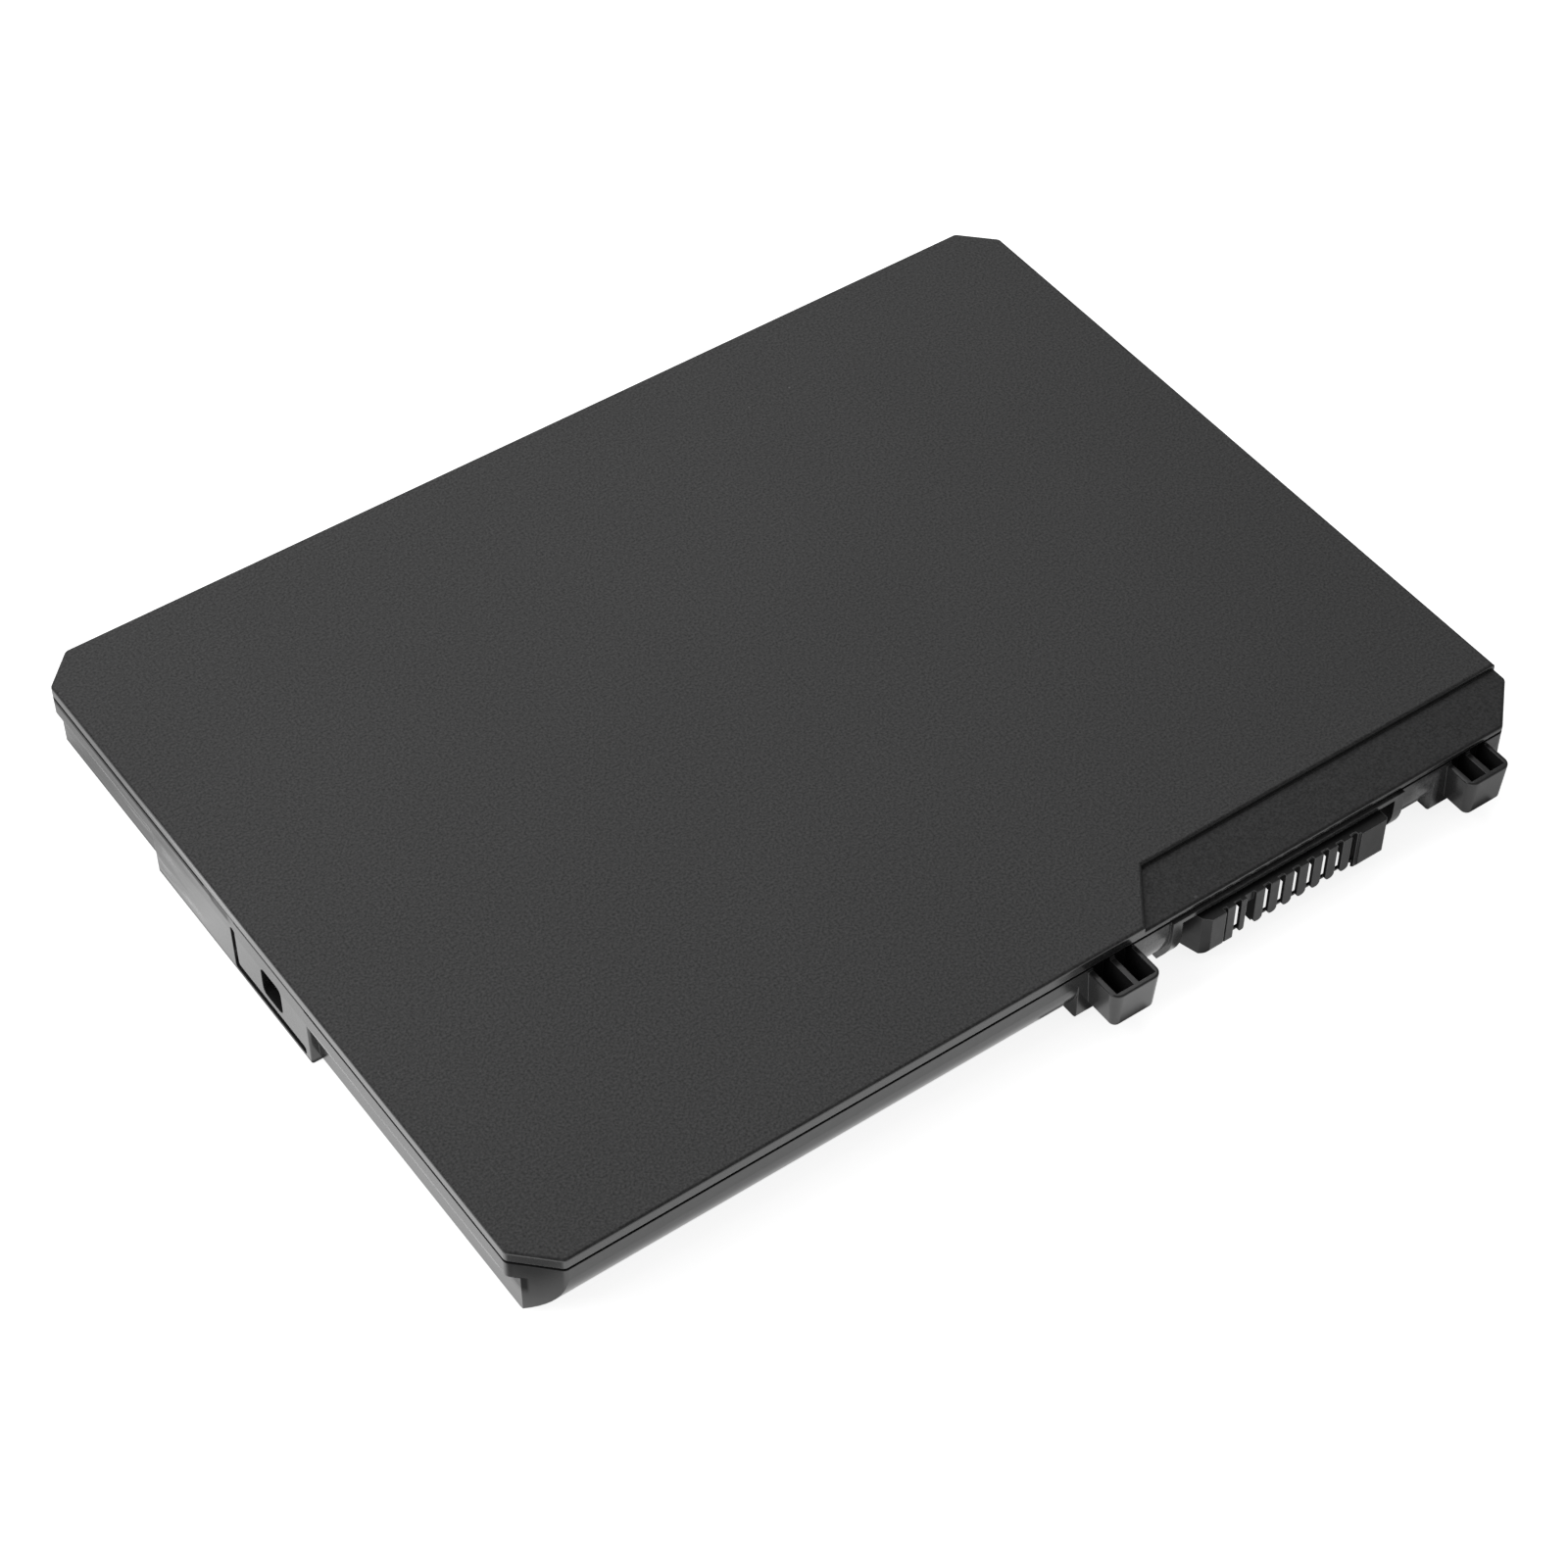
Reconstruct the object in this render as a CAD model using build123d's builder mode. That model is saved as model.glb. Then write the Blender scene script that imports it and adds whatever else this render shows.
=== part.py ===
# Slim notebook bay battery: two moulded shells, three pouch cells, a protection board and a comb connector.
# Millimetres, +Z up. The origin is under the middle of the part, and the connector edge faces -Y.
import os
from math import cos, radians, sin
from build123d import *

os.makedirs("parts", exist_ok=True)

# Case outline and tray
body_width = 130.0
body_depth = 99.0
body_height = 10.0
front_cuts = (4.2, 5.1)
back_cut = 3.9
corner_round = 0.8
wall = 1.6
floor_thickness = 0.8
front_round = 6.5
back_round = 1.0

# Cover, with its edge band, the open parting line under it and the stepped-down panel,
# which is placed from the right edge as the rest of the connector group is
cover_rim = 1.35
cover_plate = 1.2
edge_round = 0.35
panel_round = 0.35
parting_gap = 0.4
parting_depth = 0.5
parting_closed = 0.12
lip_thickness = 0.6
lip_drop = 1.6
lip_clearance = 0.1
lip_start = 17.0
recess_depth = 0.7
recess_skin = 0.9
recess_start = 54.8
recess_corner = 49.7
recess_back = 6.9

# Side rails and the flush latch section on the left, places measured from the front edge
rail_level = 6.0
rail_inset = 1.0
lead_in_round = 0.8
latch_start = 41.4
latch_end = 73.6
latch_round = 0.25
latch_block_depth = 4.6
latch_block_height = 6.9
rise_end = 62.0
window_start = 46.8
window_width = 4.05
window_bottom = 2.3
window_height = 4.0
window_depth = 3.2
window_round = 0.8
groove_start = 42.4
groove_end = 56.9
groove_bottom = 0.4
groove_band = 1.15
groove_leg = 0.9
groove_top = 6.9
groove_depth = 0.4
groove_round = 0.4

# Hollow guide lugs on the connector edge, the wider one first, places measured from the right edge
lug_starts = (62.1, 12.9)
lug_widths = (6.25, 5.9)
lug_reaches = (4.45, 3.8)
lug_bottom = 2.75
lug_top = 7.9
lug_draft = 4.0
lug_corner = 1.1
lug_edge = 0.3
lug_rim_round = 0.22
lug_skin = 0.55
lug_pocket_back = 1.0
lug_pocket_floor = 0.8
foot_leads = (1.15, 1.6)
foot_bottoms = (1.2, 1.6)
foot_round = 0.6

# Connector bay between the lugs, which leaves a gap at each end of the comb
bay_gaps = (1.3, 2.0)
bay_depth = 4.6
bay_top = 7.65
bay_wall = 1.3
bay_round = 5.7
bezel_reach = 0.35
bay_rear_wall = 1.2

# Comb connector: a row of slots placed from the right edge, between two end posts
comb_reach = 1.45
comb_back_reach = 8.5
comb_bottom = 1.7
comb_top = 7.3
comb_depth = 0.42
comb_nose = 1.0
post_widths = (5.0, 4.1)
post_depth = 4.0
post_proud = 0.25
post_flare = 0.85
post_flare_end = 2.0
post_bevels = (0.8, 0.3)
post_steps = (1.5, 0.35)
post_groove = 0.45
strip_root = 0.3
slot_first = 43.15
slot_pitch = 2.0
slot_places = 9
slot_blank = 1
slot_width = 0.8
slot_top = 7.0
blank_extra = 0.5
tongue_bottom = 2.4
tongue_round = 0.45
key_depth = 0.8
web_bottom = 2.45
web_height = 0.3
web_depth = 0.3
groove_width = 1.15
seat_level = 6.0

# Contacts, places measured from the front edge
contact_clearance = 0.075
contact_leaf = 0.22
contact_pinch = 0.12
contact_height = 0.9
contact_tip = 0.2
contact_root = 5.0
contact_end = 6.4
contact_tail_end = 9.6
contact_tail_width = 0.6
contact_tail_height = 0.25

# Circuit board and what is on it
board_end_gap = 3.2
board_front = 6.4
board_depth = 8.2
board_thickness = 1.0
board_corner = 1.0
pin_end = 4.0
pin_bay_gaps = (29.0, 5.2)
pin_setback = 1.6
pin_diameter = 1.2
pin_clearance = 0.1
pin_height = 0.5
post_diameter = 3.0
plate_thickness = 0.3
plate_depth = 4.2
plate_margin = 0.5
chip_front = 9.2
controller_size = (6.5, 4.4, 1.0)
controller_lead = (0.65, 0.3)
controller_lead_count = 10
switch_size = (4.9, 3.9, 1.4)
switch_lead = (1.27, 0.42)
switch_lead_count = 4
switch_offset = 3.0
chip_bevel = 0.2
lead_reach = 0.8
lead_thickness = 0.2
lead_stand = 0.1
chip_cap = 0.5
cap_skin = 0.05
passive_setback = 2.4
fuse_size = (5.0, 3.0, 1.4)
shunt_size = (6.0, 3.2, 0.7)
passive_offset = 3.1
thermistor_size = (2.0, 1.2, 0.8)
thermistor_offset = 5.5
capacitor_size = (1.6, 0.8, 0.8)
capacitor_setback = 1.4
capacitor_pitch = 2.6
capacitor_count = 7

# Cells
cell_count = 3
cell_gap = 0.6
cell_clearance = 0.6
cell_thickness = 6.8
cell_front = 18.0
cell_edge = 1.2
seal_depth = 2.8
seal_thickness = 0.5
seal_margin = 1.0
tab_width = 6.0
tab_thickness = 0.2
tab_spread = 20.0
tab_overlap = 3.8

# Sheets and foam
tape_thickness = 0.2
tape_margin = 2.0
rear_foam_height = 5.0
pad_margin = 4.0
sheet_thickness = 0.2
sheet_margin = 3.0
sheet_front = 7.6
sheet_depth = 7.0

# Levels and places worked out from the sizes above
cut = 1.0
near = 0.02
left_x = -body_width / 2
right_x = body_width / 2
front_y = (max(lug_reaches) - body_depth) / 2
back_y = front_y + body_depth
body_y = front_y + body_depth / 2
band_bottom = body_height - cover_rim
shell_top = band_bottom - parting_gap
plate_under = body_height - cover_plate
recess_top = body_height - recess_depth
rail_x = body_width / 2 - rail_inset
inner_x = rail_x - wall
board_bottom = seat_level - board_thickness
board_width = 2 * (inner_x - board_end_gap)
cell_bottom = floor_thickness + tape_thickness
cell_top = cell_bottom + cell_thickness
cells_x0 = left_x + latch_block_depth + cell_clearance
cells_x1 = inner_x - lip_clearance - lip_thickness - cell_clearance
cells_x = (cells_x0 + cells_x1) / 2
cells_width = cells_x1 - cells_x0
cell_width = (cells_width + cell_gap) / cell_count - cell_gap
cell_pitch = cell_width + cell_gap
lip_corner = back_cut + (wall + lip_clearance + lip_thickness) * 2 ** 0.5
cell_back = body_depth - (lip_corner - (right_x - cells_x1) + cell_clearance)
cell_length = cell_back - cell_front
rear_foam_thickness = body_depth - wall - cell_back
weld_top = seat_level + plate_thickness
tab_level = weld_top + tab_thickness / 2
seal_front = cell_front - seal_depth
slots_x0 = right_x - slot_first - slot_width / 2
slots_x1 = slots_x0 + (slot_places - 1) * slot_pitch + slot_width
comb_x = slots_x0 - post_widths[0]
comb_end_x = slots_x1 + post_widths[1]
comb_y = front_y - comb_reach
post_y = comb_y - post_proud
comb_back = comb_y + comb_depth
bay_x0 = comb_x - bay_gaps[0]
bay_x1 = comb_end_x + bay_gaps[1]
pin_places = [pin_end - board_width / 2, board_width / 2 - pin_end]
pin_places += [bay_x0 - gap for gap in pin_bay_gaps]
corner_low = (Align.MIN, Align.MIN, Align.MIN)
flat_low = (Align.MIN, Align.MIN)
on_base = (Align.CENTER, Align.CENTER, Align.MIN)


def slot_x(place):
    return slots_x0 + slot_width / 2 + place * slot_pitch


def slot_edges(place):
    # Left and right edge of a slot, the blank one being wider on its left
    left = slot_x(place) - slot_width / 2
    return (left - blank_extra if place == slot_blank else left), left + slot_width


def case_outline(inset, rounding):
    # Rectangle with its corners cut at 45 degrees, drawn in by the inset
    left_cut, right_cut = front_cuts
    with BuildSketch() as outline:
        Polygon(
            (left_x + left_cut, front_y), (right_x - right_cut, front_y),
            (right_x, front_y + right_cut), (right_x, back_y - back_cut),
            (right_x - back_cut, back_y), (left_x + back_cut, back_y),
            (left_x, back_y - back_cut), (left_x, front_y + left_cut),
            align=None,
        )
        if inset > 0:
            offset(amount=-inset, kind=Kind.INTERSECTION)
        if rounding > 0:
            fillet(outline.vertices(), rounding)
    return outline.sketch


def tray_section(depth, height, front_radius, rear_radius):
    # Side view of the tray, from its front corner: a large round at the lower front, a small one behind
    with BuildSketch() as section:
        Rectangle(depth, height, align=flat_low)
        fillet(section.vertices().group_by(Axis.Y)[0].sort_by(Axis.X)[0], front_radius)
        fillet(section.vertices().sort_by(Axis.X)[-2:].sort_by(Axis.Y)[0], rear_radius)
    return section.sketch


def span_box(x0, x1, y0, y1, z0, z1, mode=Mode.ADD):
    with Locations((x0, y0, z0)):
        Box(x1 - x0, y1 - y0, z1 - z0, align=corner_low, mode=mode)


def finish(piece, name):
    piece.label = name
    export_step(piece, f"parts/{name}.step")


def rail_section(side, rounding):
    # End view of the cutter for a side wall under its rail, with a round for the wall's lower edge
    with BuildSketch() as section:
        with Locations((side * (rail_x + (rail_inset + cut) / 2), (rail_level - cut) / 2)):
            Rectangle(rail_inset + cut, rail_level + cut)
        if rounding > 0:
            with Locations((side * (rail_x - rounding / 2), rounding / 2)):
                Rectangle(rounding, rounding)
            with Locations((side * (rail_x - rounding), rounding)):
                Circle(rounding, mode=Mode.SUBTRACT)
    return section.sketch


def guide_lug(width, reach):
    # A lug at its own corner: a drafted block with rounded front corners, drawn from its top downwards
    # The round on the rim of a drafted side takes a little off the reach, which is given back first
    draft = radians(lug_draft)
    rim_loss = lug_rim_round * ((1 + sin(draft)) / cos(draft) - 1)
    with BuildPart() as lug:
        with BuildSketch(Plane.XY.offset(lug_top)) as lug_plan:
            with Locations((0, -reach - rim_loss)):
                Rectangle(width, reach + rim_loss + wall, align=flat_low)
            fillet(lug_plan.vertices().group_by(Axis.Y)[0], lug_corner)
        extrude(amount=lug_bottom - lug_top, taper=lug_draft)
        fillet(lug.faces().sort_by(Axis.Z)[0].edges(), lug_edge)
        fillet(lug.faces().sort_by(Axis.Z)[-1].edges(), lug_rim_round)
    return lug.part


def lug_foot(width, bottom):
    # The squared foot under a lug, which stands out of the long round
    with BuildPart() as foot:
        with BuildSketch(Plane.YZ) as foot_side:
            with Locations((0, bottom)):
                Rectangle(front_round, front_round - bottom, align=flat_low)
            fillet(foot_side.vertices().group_by(Axis.Y)[0].sort_by(Axis.X)[0], foot_round)
        extrude(amount=width)
    return foot.part


lugs = [guide_lug(width, reach) for width, reach in zip(lug_widths, lug_reaches)]
foot_widths = [width + lead for width, lead in zip(lug_widths, foot_leads)]
feet = [lug_foot(width, bottom) for width, bottom in zip(foot_widths, foot_bottoms)]

# The tray's inside, with its own round at the lower front
with BuildPart() as cavity:
    with BuildSketch(Plane.XY.offset(floor_thickness)):
        add(case_outline(wall, 0))
        with Locations((0, body_y)):
            Rectangle(2 * inner_x, body_depth, mode=Mode.INTERSECT)
    extrude(amount=shell_top)
    with BuildSketch(Plane.YZ.offset(left_x)):
        with Locations((front_y + wall, floor_thickness)):
            add(tray_section(body_depth - 2 * wall, shell_top, front_round - wall, back_round))
    extrude(amount=body_width, mode=Mode.INTERSECT)

# Bottom shell
with BuildPart() as bottom_shell:
    with BuildSketch():
        add(case_outline(0, corner_round))
    extrude(amount=shell_top)
    with BuildSketch(Plane.YZ.offset(left_x)):
        with Locations((front_y, 0)):
            add(tray_section(body_depth, shell_top, front_round, back_round))
    extrude(amount=body_width, mode=Mode.INTERSECT)

    # Side rails: the walls stand in below the rail, except along the latch section
    latch_y0 = front_y + latch_start
    latch_y1 = front_y + latch_end
    rail_runs = [
        (-1, front_y - cut, latch_y0, lead_in_round),
        (-1, latch_y1, back_y + cut, 0),
        (1, front_y - cut, back_y + cut, lead_in_round),
    ]
    for side, run_y0, run_y1, rounding in rail_runs:
        with BuildSketch(Plane.XZ.offset(-run_y0)):
            add(rail_section(side, rounding))
        extrude(amount=run_y0 - run_y1, mode=Mode.SUBTRACT)
    upright_edges = bottom_shell.edges().filter_by(Axis.Z)
    outer_edges = upright_edges.filter_by_position(Axis.X, left_x - cut, left_x + rail_inset / 2)
    fillet(outer_edges.filter_by_position(Axis.Y, latch_y0 - cut, latch_y1 + cut), latch_round)

    # The wall rises over part of the latch section and nearly closes the parting line there
    rise_x1 = left_x + parting_depth - lip_clearance
    rise_y0 = latch_y0 + latch_round
    span_box(left_x, rise_x1, rise_y0, front_y + rise_end, shell_top, band_bottom - parting_closed)

    # Lugs, their feet, the end walls of the connector bay and the hood over it, which stand a little proud
    for start, lead, lug, foot in zip(lug_starts, foot_leads, lugs, feet):
        with Locations((right_x - start, front_y, 0)):
            add(lug)
        with Locations((right_x - start - lead, front_y, 0)):
            add(foot)
    for end_x in (bay_x0 - bay_wall, bay_x1):
        with BuildSketch(Plane.YZ.offset(end_x)) as bay_end:
            with Locations((front_y - bezel_reach, 0)):
                Rectangle(bezel_reach + bay_depth + bay_rear_wall, shell_top, align=flat_low)
            fillet(bay_end.vertices().group_by(Axis.Y)[0].sort_by(Axis.X)[0], bay_round)
        extrude(amount=bay_wall)
    span_box(bay_x0, bay_x1, front_y - bezel_reach, front_y + wall, bay_top, shell_top)
    add(cavity.part, mode=Mode.SUBTRACT)

    # Moulded inside: the latch block, the bay and the board posts with their pins
    span_box(left_x + rail_inset, left_x + latch_block_depth, latch_y0, latch_y1, 0, latch_block_height)
    bay_y1 = front_y + bay_depth
    for end_x in (bay_x0 - bay_wall, bay_x1):
        span_box(end_x, end_x + bay_wall, front_y + wall, bay_y1 + bay_rear_wall, floor_thickness, shell_top)
    span_box(bay_x0, bay_x1, bay_y1, bay_y1 + bay_rear_wall, 0, seat_level)
    pin_y = front_y + board_front + pin_setback
    with Locations(*[(place, pin_y, floor_thickness) for place in pin_places]):
        Cylinder(post_diameter / 2, board_bottom - floor_thickness, align=on_base)
    with Locations(*[(place, pin_y, floor_thickness) for place in pin_places]):
        Cylinder(pin_diameter / 2, seat_level + pin_height - floor_thickness, align=on_base)

    # Open bay, lug pockets, latch window and the groove round the latch panel
    span_box(bay_x0, bay_x1, front_y - cut, bay_y1, -cut, bay_top, Mode.SUBTRACT)
    for start, width, reach in zip(lug_starts, lug_widths, lug_reaches):
        pocket_width = (width - 3 * lug_skin) / 2
        pocket_depth = reach - lug_skin + lug_pocket_back
        with BuildSketch(Plane.XY.offset(shell_top)):
            with Locations((right_x - start + width / 2, front_y - reach + lug_skin + pocket_depth / 2)):
                with GridLocations(pocket_width + lug_skin, 0, 2, 1):
                    Rectangle(pocket_width, pocket_depth)
        extrude(amount=lug_bottom + lug_pocket_floor - shell_top, taper=lug_draft, mode=Mode.SUBTRACT)
    with BuildSketch(Plane.YZ.offset(left_x)) as window:
        with Locations((front_y + window_start, window_bottom)):
            Rectangle(window_width, window_height, align=flat_low)
        fillet(window.vertices(), window_round)
    extrude(amount=window_depth, mode=Mode.SUBTRACT)
    with BuildSketch(Plane.YZ.offset(left_x)) as latch_groove:
        with Locations((front_y + groove_start, groove_bottom)):
            Rectangle(groove_end - groove_start, groove_band, align=flat_low)
        with Locations((front_y + groove_end - groove_leg, groove_bottom)):
            Rectangle(groove_leg, groove_top - groove_bottom, align=flat_low)
        fillet(latch_groove.vertices(), groove_round)
    extrude(amount=groove_depth, mode=Mode.SUBTRACT)
finish(bottom_shell.part, "bottom_shell")

# Top cover
with BuildPart() as top_cover:
    # The edge band up to the stepped-down panel above the connector, then the rest of the top
    recess_points = [
        (right_x - recess_start, front_y),
        (right_x - recess_corner, front_y + recess_back),
        (right_x, front_y + recess_back),
        (right_x, front_y),
    ]
    with BuildSketch(Plane.XY.offset(band_bottom)):
        add(case_outline(0, corner_round))
    extrude(amount=recess_top - band_bottom)
    fillet(top_cover.faces().sort_by(Axis.Z)[-1].edges(), panel_round)
    with BuildSketch(Plane.XY.offset(band_bottom)):
        add(case_outline(0, corner_round))
        Polygon(*recess_points, align=None, mode=Mode.SUBTRACT)
    extrude(amount=cover_rim)
    fillet(top_cover.faces().sort_by(Axis.Z)[-1].edges(), edge_round)

    # Hollow below, with the panel's own skin kept
    with BuildSketch(Plane.XY.offset(band_bottom)):
        add(case_outline(wall, 0))
    extrude(amount=plate_under - band_bottom, mode=Mode.SUBTRACT)
    with BuildSketch(Plane.XY.offset(recess_top - recess_skin)):
        Polygon(*recess_points, align=None)
        add(case_outline(wall, 0), mode=Mode.INTERSECT)
    extrude(amount=recess_skin / 2)

    # Seat band inside the parting line, and the lip that enters the tray
    with BuildSketch(Plane.XY.offset(shell_top)):
        add(case_outline(parting_depth, 0))
        add(case_outline(wall, 0), mode=Mode.SUBTRACT)
    extrude(amount=parting_gap)
    lip_width = 2 * (inner_x - lip_clearance)
    lip_depth = body_depth - wall - lip_clearance - lip_start
    with BuildSketch(Plane.XY.offset(plate_under - lip_drop)):
        add(case_outline(wall + lip_clearance, 0))
        with Locations((0, front_y + lip_start)):
            Rectangle(lip_width, lip_depth, align=(Align.CENTER, Align.MIN), mode=Mode.INTERSECT)
        add(case_outline(wall + lip_clearance + lip_thickness, 0), mode=Mode.SUBTRACT)
    extrude(amount=lip_drop)
finish(top_cover.part, "top_cover")

# Comb connector: tongues between slots, a post at each end, a roof that reaches back over the board
with BuildPart() as connector_housing:
    comb_height = comb_top - comb_bottom
    comb_end = comb_y + comb_reach + comb_back_reach
    with BuildSketch(Plane.YZ.offset(comb_x)) as comb_side:
        with Locations((post_y, comb_bottom)):
            Rectangle(comb_end - post_y, comb_height, align=flat_low)
        fillet(comb_side.vertices().group_by(Axis.Y)[0].sort_by(Axis.X)[0], comb_nose)
    extrude(amount=comb_end_x - comb_x)
    flare_y = front_y + post_flare_end
    bevel_x = comb_x + post_flare
    left_bevel, right_bevel = post_bevels
    step_x0 = slots_x0 - post_steps[0]
    step_x1 = slots_x1 + post_steps[1]
    strip_x = step_x0 + post_groove
    with BuildSketch(Plane.XY.offset(comb_bottom)):
        Polygon(
            (comb_x, comb_end), (comb_x, flare_y), (bevel_x, post_y + left_bevel),
            (bevel_x + left_bevel, post_y), (step_x0, post_y), (step_x0, comb_back),
            (strip_x, comb_back), (strip_x, comb_y), (step_x1, comb_y), (step_x1, post_y),
            (comb_end_x - right_bevel, post_y), (comb_end_x, post_y + right_bevel), (comb_end_x, comb_end),
            align=None,
        )
    extrude(amount=comb_height, mode=Mode.INTERSECT)

    # Open space under the roof: between the posts behind the comb, and behind the posts
    post_back = front_y + post_depth
    open_x0 = strip_x + strip_root
    span_box(open_x0, step_x1, comb_back, comb_end + cut, 0, seat_level, Mode.SUBTRACT)
    span_box(comb_x - cut, comb_end_x + cut, post_back, comb_end + cut, 0, seat_level, Mode.SUBTRACT)

    # Slots through the comb; behind each one that has a contact a way in through the roof and a wider groove
    for place in range(slot_places):
        slot_x0, slot_x1 = slot_edges(place)
        span_box(slot_x0, slot_x1, post_y - cut, comb_back, 0, comb_top + cut, Mode.SUBTRACT)
        if place != slot_blank:
            groove_x0 = slot_x(place) - groove_width / 2
            groove_x1 = groove_x0 + groove_width
            span_box(slot_x0, slot_x1, comb_back, front_y, seat_level, slot_top, Mode.SUBTRACT)
            span_box(groove_x0, groove_x1, front_y, comb_end + cut, seat_level, slot_top, Mode.SUBTRACT)

    # Tongues between the slots, cut to their length and rounded at the lower end
    span_box(slots_x0, slots_x1, post_y - cut, comb_back, 0, tongue_bottom, Mode.SUBTRACT)
    for place in range(slot_places - 1):
        tongue_x0 = slot_edges(place)[1]
        tongue_x1 = slot_edges(place + 1)[0]
        low_edges = connector_housing.edges().filter_by(Axis.Y)
        low_edges = low_edges.filter_by_position(Axis.Z, tongue_bottom - near, tongue_bottom + near)
        low_edges = low_edges.filter_by_position(Axis.X, tongue_x0 - near, tongue_x1 + near)
        fillet(low_edges, tongue_round * (tongue_x1 - tongue_x0))

    # Thin web behind the tongues, open at the blank place, and the deeper tongue beside that
    blank_x0, key_x0 = slot_edges(slot_blank)
    key_x1 = slot_edges(slot_blank + 1)[0]
    web_y1 = comb_back + web_depth
    span_box(open_x0, blank_x0, comb_back, web_y1, web_bottom, web_bottom + web_height)
    span_box(key_x0, step_x1, comb_back, web_y1, web_bottom, web_bottom + web_height)
    span_box(key_x0, key_x1, comb_back, comb_back + key_depth, web_bottom, seat_level)
finish(connector_housing.part, "connector_housing")

# Contacts: a sprung fork in each groove, with its tail on the board
contact_places = [place for place in range(slot_places) if place != slot_blank]
contact_half = groove_width / 2 - contact_clearance
for number, place in enumerate(contact_places, 1):
    with BuildPart() as contact:
        with BuildSketch(Plane.XY.offset(seat_level)):
            with Locations((slot_x(place), front_y)):
                for side in (-1, 1):
                    outer = side * contact_half
                    inner = side * (contact_half - contact_leaf)
                    pinched = side * (contact_half - contact_pinch)
                    pinched_in = side * (contact_half - contact_pinch - contact_leaf)
                    bend = contact_tip + contact_leaf
                    Polygon(
                        (outer, contact_end), (outer, contact_root), (pinched, bend), (outer, contact_tip),
                        (inner, contact_tip), (pinched_in, bend), (inner, contact_root), (inner, contact_end),
                        align=None,
                    )
            with Locations((slot_x(place), front_y + contact_root)):
                Rectangle(2 * contact_half, contact_end - contact_root, align=(Align.CENTER, Align.MIN))
        extrude(amount=contact_height)
        with BuildSketch(Plane.XY.offset(seat_level)):
            with Locations((slot_x(place), front_y + contact_root)):
                tail_length = contact_tail_end - contact_root
                Rectangle(contact_tail_width, tail_length, align=(Align.CENTER, Align.MIN))
        extrude(amount=contact_tail_height)
    finish(contact.part, f"contact_{number}")

# Circuit board on the pins of the tray
with BuildPart() as circuit_board:
    with BuildSketch(Plane.XY.offset(board_bottom)) as board_plan:
        with Locations((0, front_y + board_front + board_depth / 2)):
            Rectangle(board_width, board_depth)
        fillet(board_plan.vertices(), board_corner)
        with Locations(*[(place, pin_y) for place in pin_places]):
            Circle(pin_diameter / 2 + pin_clearance, mode=Mode.SUBTRACT)
    extrude(amount=board_thickness)
finish(circuit_board.part, "circuit_board")

# Cells: a pouch with rounded edges and a flat seal in front, and a tab of each polarity
cell_centres = [cells_x + (number - (cell_count - 1) / 2) * cell_pitch for number in range(cell_count)]
for number, centre in enumerate(cell_centres, 1):
    with BuildPart() as cell:
        with BuildSketch(Plane.XZ.offset(-(front_y + cell_front))) as cell_face:
            with Locations((centre, cell_bottom + cell_thickness / 2)):
                Rectangle(cell_width, cell_thickness)
            fillet(cell_face.vertices(), cell_edge)
        extrude(amount=-cell_length)
        with BuildSketch(Plane.XY.offset(tab_level - seal_thickness / 2)):
            with Locations((centre, front_y + seal_front)):
                Rectangle(cell_width - 2 * seal_margin, seal_depth, align=(Align.CENTER, Align.MIN))
        extrude(amount=seal_thickness)
    finish(cell.part, f"cell_{number}")
    for sign, pole in ((-1, "plus"), (1, "minus")):
        with BuildPart() as tab:
            with BuildSketch(Plane.XY.offset(weld_top)):
                with Locations((centre + sign * tab_spread / 2, front_y + seal_front)):
                    tab_length = seal_front - board_front - board_depth + tab_overlap
                    Rectangle(tab_width, tab_length, align=(Align.CENTER, Align.MAX))
            extrude(amount=tab_thickness)
        finish(tab.part, f"cell_{number}_{pole}_tab")

# Weld plates on the board: one for each end of the string, and one across each pair of neighbours
plus_x = [centre - tab_spread / 2 for centre in cell_centres]
minus_x = [centre + tab_spread / 2 for centre in cell_centres]
plate_ends = [(plus_x[0], plus_x[0])]
plate_ends += list(zip(minus_x[:-1], plus_x[1:]))
plate_ends += [(minus_x[-1], minus_x[-1])]
plate_y = front_y + board_front + board_depth - plate_depth / 2
for number, (first_x, last_x) in enumerate(plate_ends, 1):
    with BuildPart() as weld_plate:
        with BuildSketch(Plane.XY.offset(seat_level)):
            with Locations(((first_x + last_x) / 2, plate_y)):
                Rectangle(last_x - first_x + tab_width + 2 * plate_margin, plate_depth)
        extrude(amount=plate_thickness)
    finish(weld_plate.part, f"weld_plate_{number}")

# Packaged chips: a bevelled body with a row of bent leads on each long side
def packaged_chip(name, centre_x, size, lead, lead_count):
    long_side, short_side, height = size
    lead_pitch, lead_width = lead
    chip_y = front_y + chip_front + short_side / 2
    with BuildPart() as chip:
        with Locations((centre_x, chip_y, seat_level + lead_stand)):
            body = Box(long_side, short_side, height, align=on_base)
        chamfer(body.faces().sort_by(Axis.Z)[-1].edges(), chip_bevel)
        for side in (-1, 1):
            edge_y = chip_y + side * short_side / 2
            with Locations((centre_x, edge_y + side * lead_reach / 2, seat_level)):
                with GridLocations(lead_pitch, 1, lead_count, 1):
                    Box(lead_width, lead_reach, lead_thickness, align=on_base)
            with Locations((centre_x, edge_y + side * lead_thickness / 2, seat_level)):
                with GridLocations(lead_pitch, 1, lead_count, 1):
                    Box(lead_width, lead_thickness, height / 2, align=on_base)
    finish(chip.part, name)


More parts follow.
